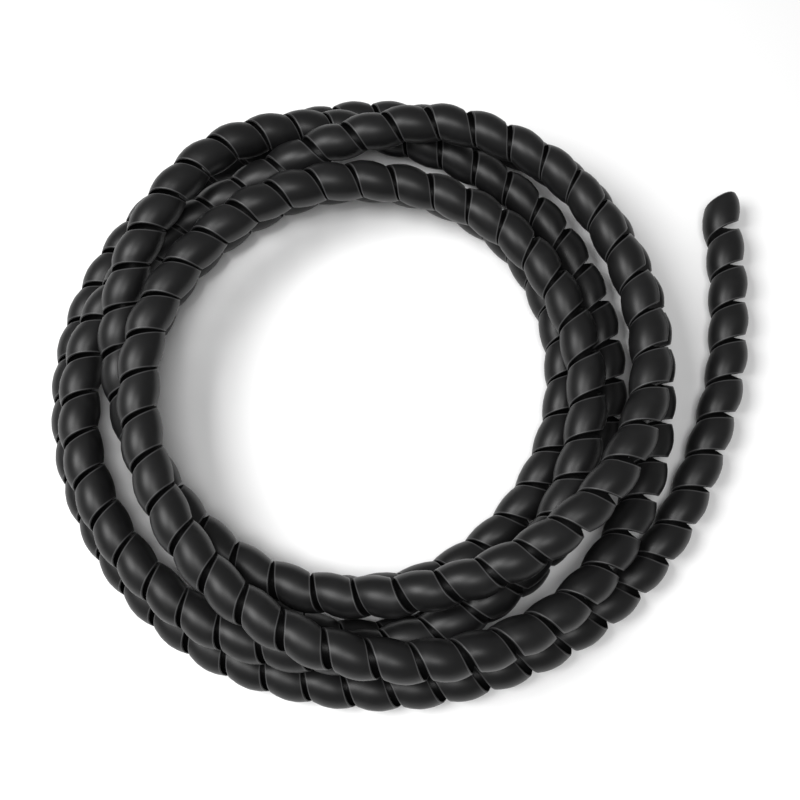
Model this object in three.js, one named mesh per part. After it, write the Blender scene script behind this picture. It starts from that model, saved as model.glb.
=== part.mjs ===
// Spiral cable wrap: one strip of black plastic, crowned on its outside and wound into a
// right-handed helix with an open bore. The wrapped length lies as a loose hand-wound coil on
// the floor, with one end free at the right and the other end under the inner turns.
// Units are millimetres. +Z is up and the coil lies on Z = 0.
import * as THREE from "three";

// The strip and its helix
const OUTER_DIAMETER = 16; // across the crowns of the helix
const STRIP_WIDTH = 14; // along the helix axis, edge to edge at the bore
const STRIP_GAP = 2; // open slit between neighbouring turns of a straight length
const CROWN_WIDTH = 7; // width of the strip's raised middle, measured the same way
const WALL = 1.9; // thickness from bore to crown
const FACETS_PER_TURN = 7;
const MOST_SECTIONS = 1540; // keeps the solid light when a size makes more turns

// The coil. Each list entry is [distance from the coil's middle, height of the wrap's axis],
// counted in outer diameters, so that strands that lie on one another keep touching distance.
const KNOT_ANGLE = 24; // degrees between neighbouring knots, clockwise seen from above
const TAIL_SIDE = 9.3; // how far to the right the free end lies straight
const TAIL_ENDS = [5.3, 2.65]; // where that straight stretch starts and ends
const STEERING_KNOT = [4.9, 0.5]; // beyond the inner end, gives the last stretch its bend
const LOOPS = [
  // outermost loop, flat on the floor: right, front, left, back
  [[8.9, 0.5], [8.15, 0.5], [7.6, 0.5], [7.2, 0.5], [7, 0.5]],
  [[7.05, 0.5], [7.1, 0.5], [7.25, 0.5], [7.4, 0.5], [7.5, 0.5]],
  [[7.6, 0.5], [7.8, 0.5], [7.9, 0.5], [8.05, 0.5], [7.7, 0.5]],
  // second loop climbs over the front and lies highest along the left
  [[7.25, 0.65], [7.1, 1.05], [7.05, 1.6], [6.75, 2.25], [6.3, 2.55]],
  [[5.8, 2.55], [5.4, 2.6], [5.2, 2.65], [5.15, 2.7], [5.1, 2.55]],
  [[5.12, 2.45], [5.2, 2.15], [5.3, 1.85], [5.4, 1.65], [5.4, 1.55]],
  // third loop swings out to the left and crosses over the back
  [[5.4, 1.5], [5.45, 1.55], [5.7, 1.55], [6, 1.53], [6.3, 1.46]],
  [[6.6, 1.45], [6.75, 1.5], [6.85, 1.5], [6.8, 1.4], [6.4, 1.4]],
  [[6.05, 1.6], [6.3, 2.15], [7.05, 2.2], [7.3, 2.05], [7.1, 1.95]],
  // fourth loop crosses over the front right and passes below at the back
  [[6.8, 2.15], [6.2, 2.5], [5.6, 2.6], [5.2, 2.3], [5.05, 1.8]],
  [[5.1, 1.6], [5.2, 1.55], [5.5, 1.6], [5.98, 2.07], [6.42, 2.52]],
  [[7.05, 2.15], [7.1, 1.35], [6.85, 1], [6.7, 0.65], [6.35, 0.5]],
  // fifth loop and the inner end lie on the floor under the others
  [[6.05, 0.5], [5.8, 0.5], [5.8, 0.5], [5.88, 0.5], [5.92, 0.5]],
  [[5.65, 0.5], [5.5, 0.5], [5.65, 0.5], [5.8, 0.5], [5.83, 0.5]],
  [[5.88, 0.5], [5.95, 0.5], [5.87, 0.5], [5.67, 0.5], [5.3, 0.5]],
  [[4.97, 0.5], [4.77, 0.5], [4.73, 0.5], [4.82, 0.5], [4.87, 0.5]],
  [STEERING_KNOT],
];

const PITCH = STRIP_WIDTH + STRIP_GAP;
const LEAN = Math.atan(PITCH / (Math.PI * (OUTER_DIAMETER - WALL))); // of the strip's run
const UP = new THREE.Vector3(0, 0, 1);

// The wrap's axis as one smooth line from the free end to the inner end.
function routePoints() {
  const points = TAIL_ENDS.map((y) => new THREE.Vector3(TAIL_SIDE, y, 0.5));
  LOOPS.flat().forEach(([radius, height], i) => {
    const angle = -THREE.MathUtils.degToRad(KNOT_ANGLE * i);
    points.push(new THREE.Vector3(radius * Math.cos(angle), radius * Math.sin(angle), height));
  });
  return points.map((p) => p.multiplyScalar(OUTER_DIAMETER));
}

// The crown's line: a helix about the route. Its frames keep the strip's section facing out
// from the axis and square to the strip's run, whatever way the route bends.
class CrownLine extends THREE.Curve {
  constructor(points) {
    super();
    const spline = new THREE.CatmullRomCurve3(points, false, "catmullrom", 0.5);
    spline.arcLengthDivisions = 40 * points.length;
    this.axis = spline;
    const lengths = spline.getLengths();
    const end = Math.round((lengths.length - 1) * (1 - 1 / (points.length - 1)));
    this.used = lengths[end] / lengths[lengths.length - 1];
    this.length = lengths[end];
    this.turns = this.length / PITCH;
  }

  // Place, axis direction and outward direction at a share t of the wrap's length.
  at(t) {
    const u = t * this.used;
    const along = this.axis.getTangentAt(u);
    const side = new THREE.Vector3().crossVectors(along, UP).normalize();
    const top = new THREE.Vector3().crossVectors(side, along);
    const turn = 2 * Math.PI * this.turns * t;
    const out = side.multiplyScalar(Math.cos(turn)).addScaledVector(top, -Math.sin(turn));
    return { place: this.axis.getPointAt(u), along, out: out.negate() };
  }

  getPoint(t) {
    const { place, out } = this.at(t);
    return place.addScaledVector(out, OUTER_DIAMETER / 2);
  }

  getSpacedPoints(sections) {
    return this.getPoints(sections);
  }

  computeFrenetFrames(sections) {
    const frames = { tangents: [], normals: [], binormals: [] };
    for (let i = 0; i <= sections; i++) {
      const { along, out } = this.at(i / sections);
      const around = new THREE.Vector3().crossVectors(along, out);
      const across = around.multiplyScalar(Math.sin(LEAN)).addScaledVector(along, -Math.cos(LEAN));
      frames.normals.push(out);
      frames.binormals.push(across);
      frames.tangents.push(new THREE.Vector3().crossVectors(out, across));
    }
    return frames;
  }
}

// The strip's section, square to its run: x counts outward from the crown, y across the strip.
function stripSection() {
  const crown = (CROWN_WIDTH / 2) * Math.cos(LEAN);
  const edge = (STRIP_WIDTH / 2) * Math.cos(LEAN);
  return new THREE.Shape([
    new THREE.Vector2(0, -crown),
    new THREE.Vector2(0, crown),
    new THREE.Vector2(-WALL, edge),
    new THREE.Vector2(-WALL, -edge),
  ]);
}

function spiralWrap() {
  const crown = new CrownLine(routePoints());
  const steps = Math.min(Math.round(crown.turns * FACETS_PER_TURN), MOST_SECTIONS);
  const geometry = new THREE.ExtrudeGeometry(stripSection(), { steps, extrudePath: crown });
  const material = new THREE.MeshStandardMaterial({ color: 0x1a1a1b, roughness: 0.5, metalness: 0 });
  const mesh = new THREE.Mesh(geometry, material);
  mesh.name = "spiral_wrap";
  return mesh;
}

// The wrap, moved so that the middle of its footprint is the origin and it stands on Z = 0.
const wrap = spiralWrap();
wrap.geometry.computeBoundingBox();
const box = wrap.geometry.boundingBox;
const middle = box.getCenter(new THREE.Vector3());
wrap.geometry.translate(-middle.x, -middle.y, -box.min.z);

const part = new THREE.Group();
part.add(wrap);
export default part;
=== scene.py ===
"""Looks of the spiral cable wrap: one crowned strip of black plastic wound into an open helix,
lying as a loose hand-wound coil on a pale floor. Metres; +Z is up."""

import math

import bmesh
import bpy
import numpy as np
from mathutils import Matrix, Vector


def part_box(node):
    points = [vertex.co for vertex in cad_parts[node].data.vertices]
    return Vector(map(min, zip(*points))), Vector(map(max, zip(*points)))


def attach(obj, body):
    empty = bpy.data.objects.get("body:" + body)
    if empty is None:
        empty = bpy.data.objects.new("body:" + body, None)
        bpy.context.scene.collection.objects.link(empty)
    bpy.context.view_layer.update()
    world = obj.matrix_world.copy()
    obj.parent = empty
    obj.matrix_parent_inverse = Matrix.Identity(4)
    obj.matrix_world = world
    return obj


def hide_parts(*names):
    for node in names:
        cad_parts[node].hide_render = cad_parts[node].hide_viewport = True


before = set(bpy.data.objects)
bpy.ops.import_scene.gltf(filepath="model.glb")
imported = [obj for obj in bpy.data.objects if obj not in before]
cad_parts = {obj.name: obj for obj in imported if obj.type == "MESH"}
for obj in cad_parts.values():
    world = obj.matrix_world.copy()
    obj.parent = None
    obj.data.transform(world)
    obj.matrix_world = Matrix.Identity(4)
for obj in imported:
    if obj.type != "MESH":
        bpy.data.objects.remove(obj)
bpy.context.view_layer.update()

# The strip and its helix, as in the part's source
OUTER_DIAMETER = 0.016
STRIP_WIDTH = 0.014
STRIP_GAP = 0.002
WALL = 0.0019
PITCH = STRIP_WIDTH + STRIP_GAP
ONE_TURN = math.hypot(PITCH, math.pi * (OUTER_DIAMETER - WALL))  # of strip, before winding
LEAN = math.atan(PITCH / (math.pi * (OUTER_DIAMETER - WALL)))  # of the strip's run

# Shape of the strip's section
CROWN_RISE = 0.0011  # the crown stands this much above the strip's edges
CROWN_POWER = 2.05  # a higher power makes the crown flatter in the middle
CROWN_POINTS = 9
EDGE_ROUND = 0.00045  # how far the rounded edges stand out past the crown's ends
# The edge from crown to bore: (share of EDGE_ROUND that it stands out, share of its height)
EDGE_PROFILE = [(0.6, 0.0875), (1, 0.4), (1, 0.75), (0, 1)]
BORE_POINT = 0.35  # share of the half width at which the bore side has a point
STEPS_PER_TURN = 22

# Hand winding leaves some turns a little more open than others: (share of pitch, wave length)
PITCH_WAVES = [(0.020, 0.41), (0.014, 0.173), (0.012, 0.089)]
WAVE_START = 1.7  # radians between the starts of the waves
TAIL_OPENING = 0.22  # extra pitch at the very end of the free tail
TAIL_OPENING_LENGTH = 0.012

# The free end's outer corner is rounded off by this much, over this length of strip
TIP_ROUND = 0.0026
TIP_ROUND_RUN = 0.011

# The coil: [distance from its middle, height of the axis] in outer diameters, one knot each
# 24 degrees, clockwise seen from above
KNOT_ANGLE = 24
POINTS_PER_KNOT = 160
TAIL_SIDE = 9.3
TAIL_ENDS = [5.3, 2.65]
TAIL_HEIGHT = 0.5
STEERING_KNOT = [4.9, 0.5]
LOOPS = [
    # outermost loop, flat on the floor: right, front, left, back
    [[8.9, 0.5], [8.15, 0.5], [7.6, 0.5], [7.2, 0.5], [7, 0.5]],
    [[7.05, 0.5], [7.1, 0.5], [7.25, 0.5], [7.4, 0.5], [7.5, 0.5]],
    [[7.6, 0.5], [7.8, 0.5], [7.9, 0.5], [8.05, 0.5], [7.7, 0.5]],
    # second loop climbs over the front and lies highest along the left
    [[7.25, 0.65], [7.1, 1.05], [7.05, 1.6], [6.75, 2.25], [6.3, 2.55]],
    [[5.8, 2.55], [5.4, 2.6], [5.2, 2.65], [5.15, 2.7], [5.1, 2.55]],
    [[5.12, 2.45], [5.2, 2.15], [5.3, 1.85], [5.4, 1.65], [5.4, 1.55]],
    # third loop swings out to the left and crosses over the back
    [[5.4, 1.5], [5.45, 1.55], [5.7, 1.55], [6, 1.53], [6.3, 1.46]],
    [[6.6, 1.45], [6.75, 1.5], [6.85, 1.5], [6.8, 1.4], [6.4, 1.4]],
    [[6.05, 1.6], [6.3, 2.15], [7.05, 2.2], [7.3, 2.05], [7.1, 1.95]],
    # fourth loop crosses over the front right and passes below at the back
    [[6.8, 2.15], [6.2, 2.5], [5.6, 2.6], [5.2, 2.3], [5.05, 1.8]],
    [[5.1, 1.6], [5.2, 1.55], [5.5, 1.6], [5.98, 2.07], [6.42, 2.52]],
    [[7.05, 2.15], [7.1, 1.35], [6.85, 1], [6.7, 0.65], [6.35, 0.5]],
    # fifth loop and the inner end lie on the floor under the others
    [[6.05, 0.5], [5.8, 0.5], [5.8, 0.5], [5.88, 0.5], [5.92, 0.5]],
    [[5.65, 0.5], [5.5, 0.5], [5.65, 0.5], [5.8, 0.5], [5.83, 0.5]],
    [[5.88, 0.5], [5.95, 0.5], [5.87, 0.5], [5.67, 0.5], [5.3, 0.5]],
    [[4.97, 0.5], [4.77, 0.5], [4.73, 0.5], [4.82, 0.5], [4.87, 0.5]],
    [STEERING_KNOT],
]
MERGE = 1e-6  # joins the two sides of the strip's seam

# Black plastic
PLASTIC_COLOR = (0.0064, 0.0064, 0.0066, 1)
RUBBED_COLOR = (0.0096, 0.0096, 0.0099, 1)
# Painted highlight: a pale line along each lip of the strip, in place of the light its rounded
# edges catch
LIP_HIGHLIGHT_COLOR = (0.055, 0.055, 0.056, 1)
LIP_HIGHLIGHT_PLACE = 0.00635  # from the crown's middle to the painted highlight on the lip, measured over the crown
LIP_HIGHLIGHT_WIDTH = 0.00032  # of the painted lip highlight's fade to each side
PLASTIC_ROUGHNESS = 0.40
PLASTIC_IOR = 1.35
ROUGHNESS_CHANGE = (-0.07, 0.09)
RUBBED_FROM_TO = (0.48, 0.75)
DIE_LINES = (18, 5200, 1)
MOTTLE_SCALE = 95.0
GRAIN_SCALE = 2600.0
GRAIN_SHARE = 0.35
BUMP_STRENGTH = 0.25
BUMP_DISTANCE = 0.00004

# Floor
FLOOR_COLOR = (0.9, 0.9, 0.9, 1)
FLOOR_ROUGHNESS = (0.60, 0.64)
FLOOR_SHINE = 0.1
FLOOR_HALF = 3

# Camera: the point it looks at, its slope, its distance and its lens
LOOK_AT = Vector((-0.0018, -0.0067, 0.008))
CAMERA_SLOPE = math.radians(74)
CAMERA_DISTANCE = 0.45
CAMERA_LENS = 50.6
SENSOR_WIDTH = 36

# Lights: place, size and power of each softbox, and the white all round
SOFTBOXES = {
    "left": ((-0.46, -0.05, 0.76), (0.40, 0.40), 7.2),
    "front": ((0.02, -0.28, 1.05), (0.36, 0.36), 4.6),
}
ALL_ROUND = 0.29


def set_camera():
    data = bpy.data.cameras.new("photo_camera")
    data.lens = CAMERA_LENS
    data.sensor_width = SENSOR_WIDTH
    camera = bpy.data.objects.new("photo_camera", data)
    bpy.context.scene.collection.objects.link(camera)
    sight = Vector((0, math.cos(CAMERA_SLOPE), -math.sin(CAMERA_SLOPE)))
    camera.location = LOOK_AT - sight * CAMERA_DISTANCE
    camera.rotation_euler = sight.to_track_quat("-Z", "Y").to_euler()
    bpy.context.scene.camera = camera


def route_knots():
    knots = [(TAIL_SIDE, y, TAIL_HEIGHT) for y in TAIL_ENDS]
    for i, (radius, height) in enumerate(pair for row in LOOPS for pair in row):
        angle = -math.radians(KNOT_ANGLE * i)
        knots.append((radius * math.cos(angle), radius * math.sin(angle), height))
    return np.array(knots) * OUTER_DIAMETER


def smooth_line(knots):
    """Even spline through the knots; the last knot only steers, so the line ends one short."""
    first = 2 * knots[0] - knots[1]
    padded = np.vstack([first, knots])
    t = np.linspace(0, 1, POINTS_PER_KNOT, endpoint=False)[:, None]
    pieces = []
    for k in range(len(padded) - 3):
        a, b, c, d = padded[k:k + 4]
        pieces.append(0.5 * (2 * b + (c - a) * t + (2 * a - 5 * b + 4 * c - d) * t ** 2
                             + (3 * b - a - 3 * c + d) * t ** 3))
    pieces.append(padded[-2][None])
    return np.vstack(pieces)


class Route:
    """The wrap's axis by its own length: places, directions and bend."""

    def __init__(self, line):
        steps = np.linalg.norm(np.diff(line, axis=0), axis=1)
        self.at_length = np.concatenate([[0], np.cumsum(steps)])
        self.length = self.at_length[-1]
        self.line = line
        along = np.gradient(line, self.at_length, axis=0)
        self.along = along / np.linalg.norm(along, axis=1)[:, None]
        self.bend = np.gradient(self.along, self.at_length, axis=0)

    def read(self, table, length):
        columns = [np.interp(length, self.at_length, table[:, k]) for k in range(3)]
        return np.stack(columns, axis=-1)

    def frame_at(self, length):
        along = self.read(self.along, length)
        side = np.cross(along, (0, 0, 1))
        side /= np.linalg.norm(side, axis=-1)[..., None]
        return self.read(self.line, length), side, np.cross(side, along)

    def lay(self, length, turn, radius, across):
        """Points of a strip wound on the route, each offset across the strip, square to its run."""
        turn = turn - across * math.sin(LEAN) / radius
        across = across * math.cos(LEAN)
        place, side, top = self.frame_at(length)
        out = -(np.cos(turn)[..., None] * side - np.sin(turn)[..., None] * top)
        stretch = 1 - radius * np.sum(self.read(self.bend, length) * out, axis=-1)
        over = length + across / stretch
        inside = np.clip(over, 0, self.length)
        place, side, top = self.frame_at(inside)
        past = (over - inside)[..., None] * self.read(self.along, inside)
        out = -(np.cos(turn)[..., None] * side - np.sin(turn)[..., None] * top)
        return place + past + radius[..., None] * out


def strip_section():
    """(across, depth below the crown) of the section, once round, from the bore side's middle."""
    half = STRIP_WIDTH / 2 * math.cos(LEAN) - EDGE_ROUND
    edge_height = WALL - CROWN_RISE
    edge = [(half + EDGE_ROUND * out, CROWN_RISE + edge_height * down)
            for out, down in EDGE_PROFILE]
    edge.append((half * BORE_POINT, WALL))
    points = [(-x, depth) for x, depth in reversed(edge)]
    for k in range(CROWN_POINTS):
        x = -half + 2 * half * k / (CROWN_POINTS - 1)
        points.append((x, CROWN_RISE * abs(x / half) ** CROWN_POWER))
    return np.array(points + edge)


def turns_at(length):
    """Turns of the helix up to a length along the route."""
    turns = length / PITCH
    for k, (share, wave) in enumerate(PITCH_WAVES):
        swing = share * wave / PITCH / (2 * math.pi)
        turns = turns + swing * np.sin(2 * math.pi * length / wave + WAVE_START * k)
    eased = TAIL_OPENING * TAIL_OPENING_LENGTH / PITCH
    return turns + eased * np.exp(-length / TAIL_OPENING_LENGTH)


def wound_strip(name, route):
    section = strip_section()
    round_count = len(section)
    steps = int(route.length / PITCH * STEPS_PER_TURN)
    mesh = bmesh.new()
    bmesh.ops.create_grid(mesh, x_segments=steps, y_segments=round_count, size=0.5)
    mesh.verts.ensure_lookup_table()
    grid = np.array([v.co[:2] for v in mesh.verts]) + 0.5
    column = np.rint(grid[:, 0] * steps).astype(int)
    row = np.rint(grid[:, 1] * round_count).astype(int)
    length = column / steps * route.length
    run = length * ONE_TURN / PITCH
    across, depth = section[row % round_count].T
    worn = TIP_ROUND / STRIP_WIDTH * 2 * np.clip(1 - run / TIP_ROUND_RUN, 0, 1) ** 2
    across = np.where(across < 0, across * (1 - worn), across)
    turn = 2 * math.pi * (turns_at(length) - turns_at(np.array(0.0)))
    points = route.lay(length, turn, OUTER_DIAMETER / 2 - depth, across)
    coordinates = mesh.loops.layers.uv.new("strip")
    for vert, point in zip(mesh.verts, points):
        vert.co = point
    sides = np.linalg.norm(np.diff(np.vstack([section, section[:1]]), axis=0), axis=1)
    spread = np.cumsum(np.concatenate([[0], sides]))
    spread -= spread[np.argmin(section[:, 1])]
    for face in mesh.faces:
        for loop in face.loops:
            i = loop.vert.index
            loop[coordinates].uv = (run[i], spread[row[i]])
        face.smooth = True
    bmesh.ops.remove_doubles(mesh, verts=mesh.verts, dist=MERGE)
    bmesh.ops.holes_fill(mesh, edges=[e for e in mesh.edges if e.is_boundary], sides=0)
    bmesh.ops.recalc_face_normals(mesh, faces=mesh.faces)
    data = bpy.data.meshes.new(name)
    mesh.to_mesh(data)
    mesh.free()
    strip = bpy.data.objects.new(name, data)
    bpy.context.scene.collection.objects.link(strip)
    return strip


def node(tree, kind, **values):
    made = tree.nodes.new(kind)
    for key, value in values.items():
        if key in made.inputs:
            made.inputs[key].default_value = value
        else:
            setattr(made, key, value)
    return made


def set_range(range_node, first, last, ends=("To Min", "To Max")):
    range_node.inputs[ends[0]].default_value = first
    range_node.inputs[ends[1]].default_value = last


def extruded_plastic_group():
    """Fine die lines along the strip, slow mottling, rubbed patches and a painted highlight along
    each lip.
    """
    group = bpy.data.node_groups.new("extruded_plastic", "ShaderNodeTree")
    for name, kind in (("Base", "Color"), ("Rubbed", "Color"), ("Lip Highlight", "Color"),
                       ("Roughness", "Float"), ("Line Depth", "Float")):
        group.interface.new_socket(name, in_out="INPUT", socket_type="NodeSocket" + kind)
    for name, kind in (("Color", "Color"), ("Roughness", "Float"), ("Height", "Float")):
        group.interface.new_socket(name, in_out="OUTPUT", socket_type="NodeSocket" + kind)
    link = group.links.new
    given = group.nodes.new("NodeGroupInput")
    result = group.nodes.new("NodeGroupOutput")
    place = group.nodes.new("ShaderNodeTexCoord")

    stripes = node(group, "ShaderNodeMapping")
    stripes.inputs["Scale"].default_value = DIE_LINES
    link(place.outputs["UV"], stripes.inputs["Vector"])
    lines = node(group, "ShaderNodeTexNoise", Scale=1.0, Detail=2.0, Roughness=0.6)
    link(stripes.outputs["Vector"], lines.inputs["Vector"])
    mottle = node(group, "ShaderNodeTexNoise", Scale=MOTTLE_SCALE, Detail=4.0, Roughness=0.55)
    link(place.outputs["Object"], mottle.inputs["Vector"])
    grain = node(group, "ShaderNodeTexNoise", Scale=GRAIN_SCALE, Detail=2.0, Roughness=0.7)
    link(place.outputs["Object"], grain.inputs["Vector"])

    rub = node(group, "ShaderNodeMapRange")
    set_range(rub, *RUBBED_FROM_TO, ends=("From Min", "From Max"))
    link(mottle.outputs["Fac"], rub.inputs["Value"])
    tint = node(group, "ShaderNodeMix", data_type="RGBA")
    link(rub.outputs["Result"], tint.inputs[0])
    link(given.outputs["Base"], tint.inputs[6])
    link(given.outputs["Rubbed"], tint.inputs[7])

    parts = group.nodes.new("ShaderNodeSeparateXYZ")
    link(place.outputs["UV"], parts.inputs["Vector"])
    from_middle = node(group, "ShaderNodeMath", operation="ABSOLUTE")
    link(parts.outputs["Y"], from_middle.inputs[0])
    past_lip_highlight = node(group, "ShaderNodeMath", operation="SUBTRACT")
    past_lip_highlight.inputs[1].default_value = LIP_HIGHLIGHT_PLACE
    link(from_middle.outputs[0], past_lip_highlight.inputs[0])
    off_lip_highlight = node(group, "ShaderNodeMath", operation="ABSOLUTE")
    link(past_lip_highlight.outputs[0], off_lip_highlight.inputs[0])
    # Painted highlight: the pale lip colour fades in over a thin band at each lip
    on_lip_highlight = node(group, "ShaderNodeMapRange", interpolation_type="SMOOTHSTEP")
    set_range(on_lip_highlight, LIP_HIGHLIGHT_WIDTH, 0, ends=("From Min", "From Max"))
    link(off_lip_highlight.outputs[0], on_lip_highlight.inputs["Value"])
    with_lip_highlight = node(group, "ShaderNodeMix", data_type="RGBA")
    link(on_lip_highlight.outputs["Result"], with_lip_highlight.inputs[0])
    link(tint.outputs[2], with_lip_highlight.inputs[6])
    link(given.outputs["Lip Highlight"], with_lip_highlight.inputs[7])
    link(with_lip_highlight.outputs[2], result.inputs["Color"])

    uneven = node(group, "ShaderNodeMapRange")
    set_range(uneven, *ROUGHNESS_CHANGE)
    link(mottle.outputs["Fac"], uneven.inputs["Value"])
    rough = node(group, "ShaderNodeMath", operation="ADD")
    link(given.outputs["Roughness"], rough.inputs[0])
    link(uneven.outputs["Result"], rough.inputs[1])
    link(rough.outputs[0], result.inputs["Roughness"])

    fine = node(group, "ShaderNodeMath", operation="MULTIPLY_ADD")
    fine.inputs[1].default_value = GRAIN_SHARE
    link(grain.outputs["Fac"], fine.inputs[0])
    link(lines.outputs["Fac"], fine.inputs[2])
    height = node(group, "ShaderNodeMath", operation="MULTIPLY")
    link(fine.outputs[0], height.inputs[0])
    link(given.outputs["Line Depth"], height.inputs[1])
    link(height.outputs[0], result.inputs["Height"])
    return group


def black_plastic():
    material = bpy.data.materials.new("satin_black_plastic")
    material.use_nodes = True
    tree = material.node_tree
    shader = tree.nodes["Principled BSDF"]
    shader.inputs["IOR"].default_value = PLASTIC_IOR
    surface = tree.nodes.new("ShaderNodeGroup")
    surface.node_tree = extruded_plastic_group()
    surface.inputs["Base"].default_value = PLASTIC_COLOR
    surface.inputs["Rubbed"].default_value = RUBBED_COLOR
    # colour of the painted highlight along the lips
    surface.inputs["Lip Highlight"].default_value = LIP_HIGHLIGHT_COLOR
    surface.inputs["Roughness"].default_value = PLASTIC_ROUGHNESS
    surface.inputs["Line Depth"].default_value = 1.0
    bump = node(tree, "ShaderNodeBump", Strength=BUMP_STRENGTH, Distance=BUMP_DISTANCE)
    tree.links.new(surface.outputs["Color"], shader.inputs["Base Color"])
    tree.links.new(surface.outputs["Roughness"], shader.inputs["Roughness"])
    tree.links.new(surface.outputs["Height"], bump.inputs["Height"])
    tree.links.new(bump.outputs["Normal"], shader.inputs["Normal"])
    return material


def floor_paint():
    material = bpy.data.materials.new("pale_floor")
    material.use_nodes = True
    tree = material.node_tree
    shader = tree.nodes["Principled BSDF"]
    shader.inputs["Specular IOR Level"].default_value = FLOOR_SHINE
    place = tree.nodes.new("ShaderNodeTexCoord")
    cloud = node(tree, "ShaderNodeTexNoise", Scale=3.0, Detail=3.0)
    tone = node(tree, "ShaderNodeMapRange")
    set_range(tone, *FLOOR_ROUGHNESS)
    tree.links.new(place.outputs["Object"], cloud.inputs["Vector"])
    tree.links.new(cloud.outputs["Fac"], tone.inputs["Value"])
    tree.links.new(tone.outputs["Result"], shader.inputs["Roughness"])
    shader.inputs["Base Color"].default_value = FLOOR_COLOR
    return material


def floor():
    mesh = bmesh.new()
    bmesh.ops.create_grid(mesh, x_segments=4, y_segments=4, size=FLOOR_HALF)
    data = bpy.data.meshes.new("floor")
    mesh.to_mesh(data)
    mesh.free()
    data.materials.append(floor_paint())
    ground = bpy.data.objects.new("floor", data)
    bpy.context.scene.collection.objects.link(ground)


def softbox(name, place, size, power):
    data = bpy.data.lights.new(name, "AREA")
    data.shape = "RECTANGLE"
    data.size, data.size_y = size
    data.energy = power
    lamp = bpy.data.objects.new(name, data)
    bpy.context.scene.collection.objects.link(lamp)
    lamp.location = place
    lamp.rotation_euler = (-Vector(place)).to_track_quat("-Z", "Y").to_euler()


def studio_light():
    world = bpy.data.worlds.new("studio")
    bpy.context.scene.world = world
    world.use_nodes = True
    sky = world.node_tree.nodes["Background"]
    sky.inputs["Color"].default_value = (1, 1, 1, 1)
    sky.inputs["Strength"].default_value = ALL_ROUND
    for name, (place, size, power) in SOFTBOXES.items():
        softbox(name, place, size, power)
    bpy.context.scene.view_settings.view_transform = "Standard"


def stand_on_solid(strip):
    """Moves the strip so that its middle and lowest point meet the solid's; returns the shift."""
    low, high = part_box("spiral_wrap")
    corners = np.array([v.co for v in strip.data.vertices])
    middle = (corners.min(axis=0) + corners.max(axis=0)) / 2
    shift = np.array([(low[0] + high[0]) / 2 - middle[0], (low[1] + high[1]) / 2 - middle[1],
                      low[2] - corners[:, 2].min()])
    strip.data.vertices.foreach_set("co", (corners + shift).ravel())
    strip.data.update()
    return shift


set_camera()
route = Route(smooth_line(route_knots()))
wrap = wound_strip("spiral_strip", route)
wrap.data.materials.append(black_plastic())
axis = route.line + stand_on_solid(wrap)

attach(wrap, "root")
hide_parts("spiral_wrap")

floor()
studio_light()
